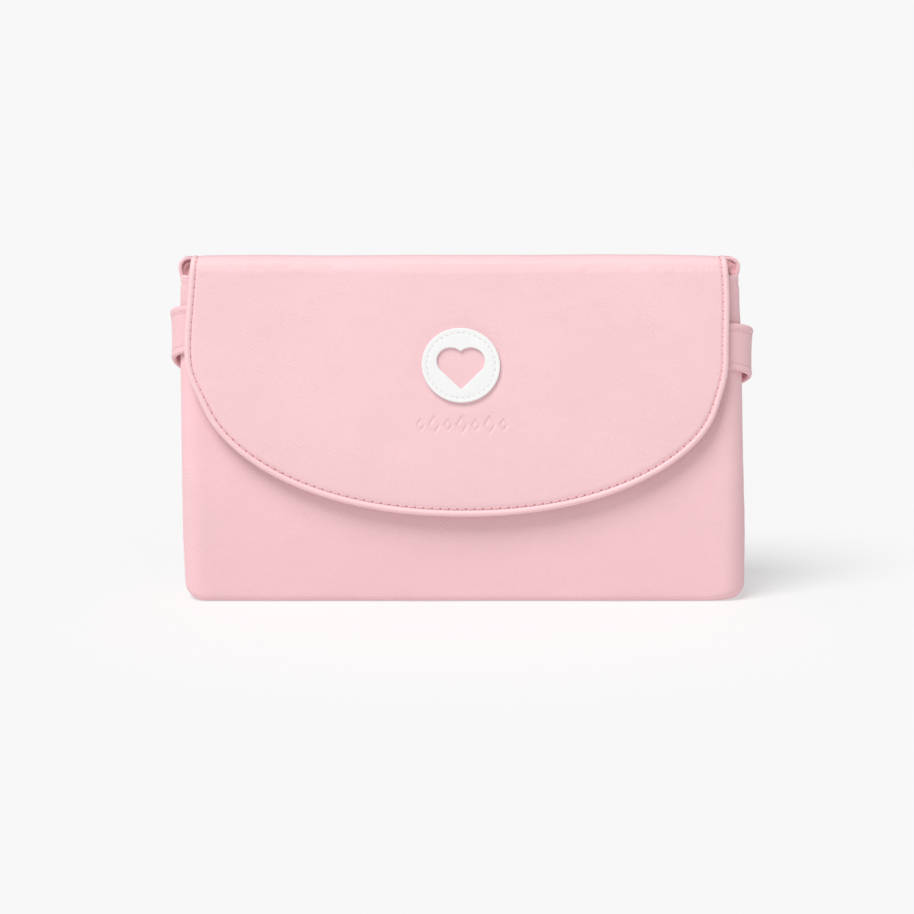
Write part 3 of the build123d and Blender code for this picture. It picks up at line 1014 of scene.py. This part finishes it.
class PAD_OT_gusset_tops(bpy.types.Operator):
    """Back edge and gusset tops, which rise past the mouth and curl in under the flap's corners"""

    bl_idname = "pad.gusset_tops"
    bl_label = "Gusset Tops"

    def execute(self, context):
        bm = self.shoulder(0.0, 2.0 * MM)
        rims = [edge for edge in bm.edges if edge.calc_face_angle(0) > 1.0]
        bmesh.ops.bevel(bm, geom=rims, offset=0.8 * MM, segments=3, profile=0.5, affect="EDGES", material=-1)
        top = piece("gusset_tops", bm, "pouch_leather_painted_shade")
        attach(top, "root")
        bm = self.shoulder(2.05 * MM, 0.5 * MM)
        inside = piece("gusset_tops_lining", bm, "lining_weave")
        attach(inside, "root")
        for side, word in SIDES:
            bm = grid(24, 36, lambda across, along: self.tuck(side, across, along))
            # The tuck wears the strap backing's deeper pink, partly painted shade in the corner hole.
            tuck = piece(
                f"gusset_tuck_{word}", thicken(bm, 0.5 * MM, facing=Vector((0, -1, 0))),
                "strap_backing",
            )
            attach(tuck, "root")
        return {"FINISHED"}

    def tuck(self, side, across, along):
        """Crumpled lining that closes the corner between the gusset's top and the crown."""
        x = TUCK_START_X + TUCK_WIDTH * across
        z = MOUTH_Z - 8 * MM + TUCK_HEIGHT * along
        y = TUCK_Y + 2.6 * MM * ripple(x, z, 4 * MM, side * 2.7) + 1.5 * MM * along
        return settle(Vector((side * x, y, z)))

    def shoulder(self, inset, thickness):
        """U-shaped sheet round the back and sides of the mouth, rounded over at its top."""
        foot_z = MOUTH_Z - 9 * MM
        radius = 6.0 * MM - inset
        corner = 9 * MM
        half = MOUTH_HALF + MOUTH_PLUMP - 0.6 * MM - inset
        depth = MOUTH_DEPTH - 1.4 * MM - inset
        front_y = (-5.0 + 3.0 * inset / (2 * MM)) * MM
        total = 4 * (half - corner) + 4 * (depth - corner) + 2 * math.pi * corner
        start = (2 * (half - corner) + math.pi * corner / 2 + front_y + depth - corner) / total
        middle = 0.5 + (half - corner) / total

        def place(across, along):
            share = middle + (2 * across - 1) * (middle - start)
            spot, out = plan_point(share, half, depth, corner)
            back = max(out.y, 0.0) ** 2
            under = min(max((CROWN_HALF + 0.6 * MM - abs(spot.x)) / (3 * MM), 0.0), 1.0)
            slope = shape().crown_fall * max(spot.y / depth, 0)
            top = CROWN_TOP - 0.5 * MM - inset - slope - 3.6 * MM * under
            rise = top - radius - foot_z
            height = along * (rise + radius * (1.9 - 1.0 * back))
            angle = max(height - rise, 0.0) / radius
            curl = radius * (1 - math.cos(angle))
            z = foot_z + min(height, rise) + radius * math.sin(angle)
            fold = gusset_fold(out, spot.y / MOUTH_DEPTH, MOUTH_Z) * abs(out.x) ** 4 * max(1 - along * 1.6, 0)
            phase = 3.3 * math.copysign(1, spot.x)
            crumple = 0.45 * MM * ripple(spot.y, z, 5 * MM, phase) * min(along * 2, 1)
            spot = spot - out * (curl + crumple) - Vector((math.copysign(fold, spot.x), 0))
            return settle(Vector((spot.x, spot.y, z)))

        return thicken(grid(240, 26, place), thickness, centre=Vector((0, 0, MOUTH_Z)))


class PAD_OT_emblem(bpy.types.Operator):
    """White round patch with a heart-shaped window and its stitching"""

    bl_idname = "pad.emblem"
    bl_label = "Emblem Patch"

    def execute(self, context):
        loops = 120
        bm = bmesh.new()
        heart = [self.heart(i / loops) for i in range(loops)]
        ring = []
        window = []
        for i, (x, z) in enumerate(heart):
            angle = 2 * math.pi * i / loops - math.pi / 2
            ring.append(bm.verts.new((PATCH_RADIUS * math.cos(angle), 0, PATCH_RADIUS * math.sin(angle))))
            window.append(bm.verts.new((x, 0, z)))
        edges = [bm.edges.new((row[i], row[(i + 1) % loops])) for row in (ring, window) for i in range(loops)]
        bmesh.ops.bridge_loops(bm, edges=edges)
        bmesh.ops.subdivide_edges(
            bm, edges=[edge for edge in bm.edges if not edge.is_boundary], cuts=9, use_grid_fill=False
        )
        thicken(bm, PATCH_THICKNESS, facing=Vector((0, -1, 0)))
        bmesh.ops.translate(bm, verts=bm.verts, vec=(0, -PATCH_THICKNESS, 0))
        rims = [edge for edge in bm.edges if edge.is_manifold and edge.calc_face_angle() > 1.0]
        bmesh.ops.bevel(
            bm, geom=rims, offset=0.22 * MM, segments=2, profile=0.5, affect="EDGES", material=-1,
            clamp_overlap=True,
        )
        for vert in bm.verts:
            radial = math.hypot(vert.co.x, vert.co.z)
            raised = vert.co.y < -0.5 * MM
            dent = 0.22 * MM * hump(radial, PATCH_RADIUS - PATCH_STITCH_INSET, 0.5 * MM) if raised else 0.0
            vert.co = self.lay(vert.co.x, vert.co.z, -vert.co.y - dent)
        bmesh.ops.recalc_face_normals(bm, faces=bm.faces)
        patch = piece("emblem_patch_disc", bm, "white_patch", sharp=50)
        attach(patch, "flap")
        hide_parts("emblem_patch")
        self.stitch()
        return {"FINISHED"}

    def lay(self, x, z, out):
        """Point on the patch: from its own flat plane to the flap's outer face."""
        height = PATCH_CENTRE.z + z * shape().patch_oval
        return flap_point(x, height_to_reach(height), FLAP_HALF_THICK + shape().pillow * 0.9 + out)

    def heart(self, share):
        """Outline of the heart, from its lower tip round to the left."""
        side = 13.4 * MM
        lobe = side / 2
        half = side / math.sqrt(2)
        centre = half / 2
        runs = [side, math.pi * lobe, math.pi * lobe, side]
        left = share * sum(runs)
        if left < runs[0]:
            step = left / math.sqrt(2)
            x, z = step, -half + step
        elif left < runs[0] + runs[1]:
            angle = -math.pi / 4 + (left - runs[0]) / lobe
            x, z = centre + lobe * math.cos(angle), centre + lobe * math.sin(angle)
        elif left < sum(runs[:3]):
            angle = math.pi / 4 + (left - runs[0] - runs[1]) / lobe
            x, z = -centre + lobe * math.cos(angle), centre + lobe * math.sin(angle)
        else:
            step = (left - sum(runs[:3])) / math.sqrt(2)
            x, z = -half + step, -step
        return x, z - centre * 0.55

    def stitch(self):
        """Pale thread just inside the patch's rim."""
        points = []
        normals = []
        for i in range(181):
            angle = 2 * math.pi * i / 180
            radius = PATCH_RADIUS - PATCH_STITCH_INSET
            points.append(self.lay(radius * math.cos(angle), radius * math.sin(angle), 1.02 * MM))
            normals.append(Vector((0, -1, 0)))
        threads, hole_shades = stitches(Route(points, normals), 2.75 * MM, 1.9 * MM, 0.55 * MM, 0.42 * MM)
        hole_shades.free()
        thread = piece("patch_stitching", threads, "patch_thread")
        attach(thread, "flap")


class PAD_OT_strap(bpy.types.Operator):
    """Carry strap: sewn ends under the flap, loops at both sides and the drooping back span"""

    bl_idname = "pad.strap"
    bl_label = "Carry Strap"

    def execute(self, context):
        route = self.line()
        bm = sweep(route, self.band, 420, 72)
        band = piece("strap_leather", bm, "pouch_leather_painted_shade")
        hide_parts("strap_outer", "strap_end_left", "strap_end_right")
        self.bend(band)
        bm = sweep(route, self.backing, 300, 24)
        lining = piece("strap_backing_strip", bm, "strap_backing")
        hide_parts("strap_inner")
        self.bend(lining)
        for word, sideways in (("upper", 1), ("lower", -1)):
            row = route.beside(sideways * (STRAP_WIDTH / 2 - STRAP_STITCH_INSET), 0.86 * MM, 500)
            threads, hole_shades = stitches(
                row, shape().strap_stitch, 1.9 * MM, 0.5 * MM, 0.42 * MM, 1.0 * MM
            )
            thread = piece(f"strap_topstitch_{word}", threads, "topstitch_thread")
            self.bend(thread)
            hole_shades.free()
        return {"FINISHED"}

    def bend(self, obj):
        """Bakes the strap piece's transform into its mesh."""
        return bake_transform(obj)

    def plan(self):
        """Right half of the strap seen from above, from its sewn end to the middle of the back."""
        front = -pouch_depth(STRAP_BEND.z) - 1.3 * MM
        side = STRAP_SIDE - 1.1 * MM
        back = STRAP_BACK - 5.2 * MM
        return [
            (STRAP_END_IN, front),
            (side - 26.5 * MM, front),
            (side - 19.5 * MM, front - 0.2 * MM),
            (side - 12.5 * MM, front + 0.2 * MM),
            (side - 7.0 * MM, front + 2.0 * MM),
            (side - 2.8 * MM, front + 5.2 * MM),
            (side - 0.5 * MM, front + 9.5 * MM),
            (side, front + 14.5 * MM),
            (side - 0.7 * MM, front + 20.5 * MM),
            (side - 2.9 * MM, front + 27.5 * MM),
            (side - 6.3 * MM, front + 34.0 * MM),
            (side - 12.0 * MM, back - 6.0 * MM),
            (side - 20.0 * MM, back - 2.0 * MM),
            (side - 31.0 * MM, back - 0.5 * MM),
            (side - 50.0 * MM, back),
            (side - 80.0 * MM, back - 0.3 * MM),
            (side - 120.0 * MM, back - 0.1 * MM),
        ]

    def line(self):
        """Middle line of the strap, with the direction that its outer face looks."""
        half = self.plan()
        knots = [Vector((-x, y, 0)) for x, y in half] + [Vector((x, y, 0)) for x, y in reversed(half)]
        smooth = curve_through(knots, 12)
        front = smooth[0].y
        middle_back = smooth[len(smooth) // 2].y
        steepest = math.tan(shape().strap_droop)
        points = []
        for spot in smooth:
            leftness = min(max(0.5 - 0.5 * spot.x / STRAP_SIDE, 0.0), 1.0)
            slope = steepest - 0.12 * leftness
            across = spot.x * (1 - 0.010 * leftness)
            level_off = 1 - min((spot.y - front) / (middle_back - front), 1.0)
            height = STRAP_BEND.z + 2.2 * MM - shape().strap_roll / 2 * spot.x / STRAP_SIDE * level_off
            sag = 2.5 * MM * hump(spot.x, 0, 0.07) if spot.y > 0 else 0.0
            fall = max(spot.y - front, 0.0) * slope
            points.append(settle(Vector((across, spot.y, height - fall - sag))))
        normals = []
        for i in range(len(points)):
            ahead = points[min(i + 1, len(points) - 1)] - points[max(i - 1, 0)]
            normals.append(Vector((-ahead.y, ahead.x, 0)).normalized())
        return Route(points, normals)

    def band(self, share):
        """Section of the leather band: folded edges stand a little proud of the stitched field."""
        angle = 2 * math.pi * share
        half = STRAP_WIDTH / 2 + 0.3 * MM
        along = signed_power(math.cos(angle), 0.45) * half
        from_edge = half - abs(along)
        high = 1.0 * MM + 0.25 * MM * hump(from_edge, 1.6 * MM, 1.3 * MM)
        high -= 0.25 * MM * hump(from_edge, STRAP_STITCH_INSET, 0.5 * MM)
        high *= rounded(from_edge, 1.1 * MM)
        return along, math.copysign(high, math.sin(angle)) if from_edge > 1e-6 else 0.0

    def backing(self, share):
        """Flat strip on the band's inner face."""
        angle = 2 * math.pi * share
        half = STRAP_WIDTH / 2 - 2.6 * MM
        along = signed_power(math.cos(angle), 0.35) * half
        return along, -1.05 * MM + 0.35 * MM * signed_power(math.sin(angle), 0.5)


def curve_through(knots, steps):
    """Smooth line through knots, with steps points to each span."""
    line = []
    ends = [knots[0] * 2 - knots[1]] + knots + [knots[-1] * 2 - knots[-2]]
    for a, b, c, d in zip(ends, ends[1:], ends[2:], ends[3:]):
        for i in range(steps):
            t = i / steps
            bow = (2 * a - 5 * b + 4 * c - d) * t * t + (3 * b - a - 3 * c + d) * t ** 3
            line.append(0.5 * (2 * b + (c - a) * t + bow))
    line.append(knots[-1])
    return line


class PAD_OT_inner_pocket(bpy.types.Operator):
    """Flat wipes pocket on the back lining, with its elastic hem"""

    bl_idname = "pad.inner_pocket"
    bl_label = "Inner Pocket"

    def execute(self, context):
        half = POCKET_HIGH.x

        def side_hug(across):
            return rounded(min(across, 1 - across) * 2 * half, 6 * MM)

        def place(across, along):
            x = (across * 2 - 1) * half
            z = POCKET_LOW.z + (HEM_LOW.z - POCKET_LOW.z) * along
            hug = side_hug(across) * rounded(along * (HEM_LOW.z - POCKET_LOW.z), 8 * MM)
            wall = pouch_depth(z) - LINING_CLEARANCE
            y = wall + (POCKET_LOW.y + 0.4 * MM - wall) * hug
            y += 0.5 * MM * ripple(x, z, 14 * MM, 6.0) * hug
            return settle(Vector((x, y, z)))

        bm = thicken(grid(110, 50, place), 0.5 * MM, facing=Vector((0, -1, 0)))
        pocket = piece("wipes_pocket_mesh", bm, "pocket_mesh")
        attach(pocket, "root")
        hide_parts("inner_pocket")

        def hem(across, along):
            x = (across * 2 - 1) * half
            z = HEM_LOW.z + (HEM_HIGH.z - HEM_LOW.z) * along
            gather = 0.35 * MM * math.sin(x / (1.6 * MM))
            wall = pouch_depth(z) - LINING_CLEARANCE
            y = wall + (POCKET_LOW.y + 0.4 * MM + gather - wall) * side_hug(across)
            return settle(Vector((x, y, z)))

        bm = thicken(grid(300, 8, hem), 0.9 * MM, facing=Vector((0, -1, 0)))
        band = piece("wipes_pocket_elastic", bm, "lining_weave")
        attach(band, "root")
        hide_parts("pocket_elastic")
        return {"FINISHED"}


class PAD_OT_mat(bpy.types.Operator):
    """Padded changing mat, folded in four like an accordion"""

    bl_idname = "pad.mat"
    bl_label = "Folded Mat"

    def execute(self, context):
        bm = self.flat_pad()
        self.fold(bm)
        pad = piece("folded_mat", bm, "mat_cover")
        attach(pad, "mat")
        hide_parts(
            "mat_foam_1", "mat_foam_2", "mat_foam_3", "mat_foam_4", "mat_top_sheet", "mat_back_sheet"
        )
        for side, word in SIDES:
            bm = grid(16, 420, lambda across, along: self.tape(side, across, along))
            close_solid(bm)
            tape = piece(f"mat_binding_{word}", bm, "mat_binding")
            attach(tape, "mat")
            if side < 0:
                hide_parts("mat_binding")
        return {"FINISHED"}

    def sizes(self):
        """Panel length between folds, and fold pitch."""
        pitch = (MAT_HIGH.y - MAT_LOW.y) / MAT_PANELS
        return MAT_HIGH.z - MAT_LOW.z - pitch, pitch

    def length(self):
        """Length of the mat laid flat."""
        panel, pitch = self.sizes()
        return MAT_PANELS * panel + (MAT_PANELS - 1) * pitch / 2 * math.pi

    def flat_pad(self):
        """The mat laid flat, with its quilting channels, plumped by a short cloth run."""
        half = MAT_HIGH.x - MAT_EDGE_INSET
        length = self.length()
        bm = grid(56, 128, lambda across, along: Vector(((across * 2 - 1) * half, length * along, 0.5 * MM)))
        thicken(bm, 1.0 * MM, facing=Vector((0, 0, 1)))
        bm = self.plump(bm)
        lowest = 0.35 * MM
        for vert in bm.verts:
            size = lowest + 0.75 * MM * (1 - self.seam(vert.co.x, vert.co.y))
            size = min(max(abs(vert.co.z), lowest), size)
            vert.co.z = math.copysign(size, vert.co.z)
        return bm

    def seam(self, x, along):
        """1 on a quilting seam or the mat's edge, 0 between them."""
        half = MAT_HIGH.x - MAT_EDGE_INSET
        channel = half / 3
        near = min(abs(x - round(x / channel) * channel), half - abs(x))
        near = min(near, along, self.length() - along)
        return hump(near, 0.0, 5 * MM)

    def plump(self, bm):
        """Cloth run under light pressure, pinned on the seams."""
        obj = add_object("mat_cloth", mesh_from("mat_cloth", bm))
        pins = obj.vertex_groups.new(name="seams")
        for vert in obj.data.vertices:
            if self.seam(vert.co.x, vert.co.y) > 0.7:
                pins.add([vert.index], 1.0, "REPLACE")
        cloth = obj.modifiers.new("plump", "CLOTH")
        cloth.settings.vertex_group_mass = "seams"
        cloth.settings.use_pressure = True
        cloth.settings.uniform_pressure_force = 4.0
        cloth.settings.effector_weights.gravity = 0.0
        cloth.settings.quality = 5
        cloth.point_cache.frame_start = 1
        cloth.point_cache.frame_end = 20
        for number in range(1, 21):
            bpy.context.scene.frame_set(number)
        graph = bpy.context.evaluated_depsgraph_get()
        plumped = bpy.data.meshes.new_from_object(obj.evaluated_get(graph))
        result = bmesh.new()
        result.from_mesh(plumped)
        bpy.data.objects.remove(obj)
        bpy.data.meshes.remove(plumped)
        bpy.context.scene.frame_set(1)
        return result

    def bent(self, along):
        """Point and outward direction of the folded mat's middle, at a distance along it."""
        panel, pitch = self.sizes()
        radius = pitch / 2
        turn = radius * math.pi
        number = min(int(along / (panel + turn)), MAT_PANELS - 1)
        left = along - number * (panel + turn)
        upwards = number % 2 == 0
        y = MAT_LOW.y + pitch * (number + 0.5)
        low = MAT_LOW.z + radius
        high = low + panel
        if left <= panel:
            z = low + left if upwards else high - left
            return Vector((0, y, z)), Vector((0, -1 if upwards else 1, 0))
        angle = (left - panel) / radius
        centre = Vector((0, y + radius, high if upwards else low))
        sign = 1 if upwards else -1
        out = Vector((0, -math.cos(angle), sign * math.sin(angle)))
        return centre + out * radius, out * (1 if upwards else -1)

    def fold(self, bm):
        """Carries the flat pad on to its folded line."""
        for vert in bm.verts:
            middle, out = self.bent(min(max(vert.co.y, 0.0), self.length()))
            co = middle + out * vert.co.z
            vert.co = settle(Vector((vert.co.x, co.y, co.z)))
        bmesh.ops.recalc_face_normals(bm, faces=bm.faces)

    def tape(self, side, across, along):
        """Binding tape over the mat's side edge, folded with it."""
        middle, out = self.bent(along * self.length())
        angle = 2 * math.pi * across
        x = side * (MAT_HIGH.x - 3.2 * MM + 3.0 * MM * math.cos(angle))
        co = middle + out * 0.78 * MM * math.sin(angle)
        return settle(Vector((x, co.y, co.z)))


class PAD_OT_hardware(bpy.types.Operator):
    """Finishes of the snap and the stiffener boards, which keep their own shapes"""

    bl_idname = "pad.hardware"
    bl_label = "Snap and Boards"

    def execute(self, context):
        finishes = {
            "snap_socket": "snap_metal",
            "snap_socket_washer": "snap_metal",
            "snap_stud": "snap_metal",
            "snap_stud_washer": "snap_metal",
            "back_stiffener": "board",
            "base_stiffener": "board",
        }
        for node, finish in finishes.items():
            mesh = frame["nodes"][node].data
            mesh.materials.clear()
            mesh.materials.append(finish_of(finish))
        return {"FINISHED"}


def looking_along(direction):
    """Turn of a camera or lamp that looks in a direction."""
    return direction.to_track_quat("-Z", "Y").to_euler()


class PAD_OT_stage(bpy.types.Operator):
    """Pale floor and backdrop, soft studio light and the camera"""

    bl_idname = "pad.stage"
    bl_label = "Stage"

    def execute(self, context):
        stage = context.scene.pad_stage
        self.lay_floor(stage)
        self.shine(stage)
        self.open_sky(context, stage)
        context.scene.view_settings.view_transform = "Standard"
        camera = add_object("camera", bpy.data.cameras.new("camera"))
        aim = Vector(stage.aim)
        away = Vector((0, -math.cos(stage.elevation), math.sin(stage.elevation)))
        camera.location = aim + away * stage.distance
        camera.rotation_euler = looking_along(-away)
        camera.data.lens = stage.lens
        camera.data.clip_start = 0.01
        context.scene.camera = camera
        return {"FINISHED"}

    def lay_floor(self, stage):
        """Level floor that runs far behind the clutch."""
        bm = bmesh.new()
        bmesh.ops.create_circle(bm, cap_ends=True, radius=stage.floor_radius, segments=96)
        floor = add_object("floor_paper", mesh_from("floor_paper", bm))
        material, _, shader, _ = principled("floor_paper")
        set_inputs(shader, Base_Color=(*stage.floor, 1), Roughness=0.9, Specular_IOR_Level=0.0)
        set_inputs(shader, Emission_Color=(1, 1, 1, 1), Emission_Strength=stage.floor_glow)
        floor.data.materials.append(material)

    def shine(self, stage):
        """Broad soft light from the upper left of the front."""
        data = bpy.data.lights.new("softbox", "SUN")
        data.energy = stage.key
        data.angle = stage.key_spread
        lamp = add_object("softbox", data)
        lamp.rotation_euler = looking_along(-Vector(stage.key_from))

    def open_sky(self, context, stage):
        """Even light from all round, behind a pale backdrop."""
        world = bpy.data.worlds.new("studio")
        context.scene.world = world
        world.use_nodes = True
        tree = world.node_tree
        light = tree.nodes["Background"]
        set_inputs(light, Color=(1, 1, 1, 1), Strength=stage.sky)
        backdrop = tree.nodes.new("ShaderNodeBackground")
        set_inputs(backdrop, Color=(1, 1, 1, 1), Strength=stage.backdrop)
        seen = tree.nodes.new("ShaderNodeLightPath")
        mix = tree.nodes.new("ShaderNodeMixShader")
        tree.links.new(seen.outputs["Is Camera Ray"], mix.inputs["Fac"])
        tree.links.new(light.outputs[0], mix.inputs[1])
        tree.links.new(backdrop.outputs[0], mix.inputs[2])
        tree.links.new(mix.outputs[0], tree.nodes["World Output"].inputs["Surface"])


OPERATORS = (
    PAD_OT_stage,
    PAD_OT_pouch,
    PAD_OT_gusset_tops,
    PAD_OT_inner_pocket,
    PAD_OT_mat,
    PAD_OT_strap,
    PAD_OT_flap_leather,
    PAD_OT_flap_edge,
    PAD_OT_emblem,
    PAD_OT_hardware,
)


class PAD_PT_panel(bpy.types.Panel):
    """Lists the parts that can be built"""

    bl_idname = "PAD_PT_panel"
    bl_label = "Changing Pad"
    bl_space_type = "VIEW_3D"
    bl_region_type = "UI"
    bl_category = "Changing Pad"

    def draw(self, context):
        for operator in OPERATORS:
            self.layout.operator(operator.bl_idname)


SETTINGS = {"pad_shape": PadShapeSettings, "pad_colours": PadColourSettings, "pad_stage": PadStageSettings}


def register():
    for cls in (*SETTINGS.values(), *OPERATORS, PAD_PT_panel):
        bpy.utils.register_class(cls)
    for name, cls in SETTINGS.items():
        setattr(bpy.types.Scene, name, PointerProperty(type=cls))


def unregister():
    for name in SETTINGS:
        delattr(bpy.types.Scene, name)
    for cls in (PAD_PT_panel, *reversed(OPERATORS), *reversed(SETTINGS.values())):
        bpy.utils.unregister_class(cls)


def main():
    register()
    for operator in OPERATORS:
        area, name = operator.bl_idname.split(".")
        if getattr(getattr(bpy.ops, area), name)() != {"FINISHED"}:
            raise RuntimeError(f"{operator.bl_label} did not finish")


if __name__ == "__main__":
    main()
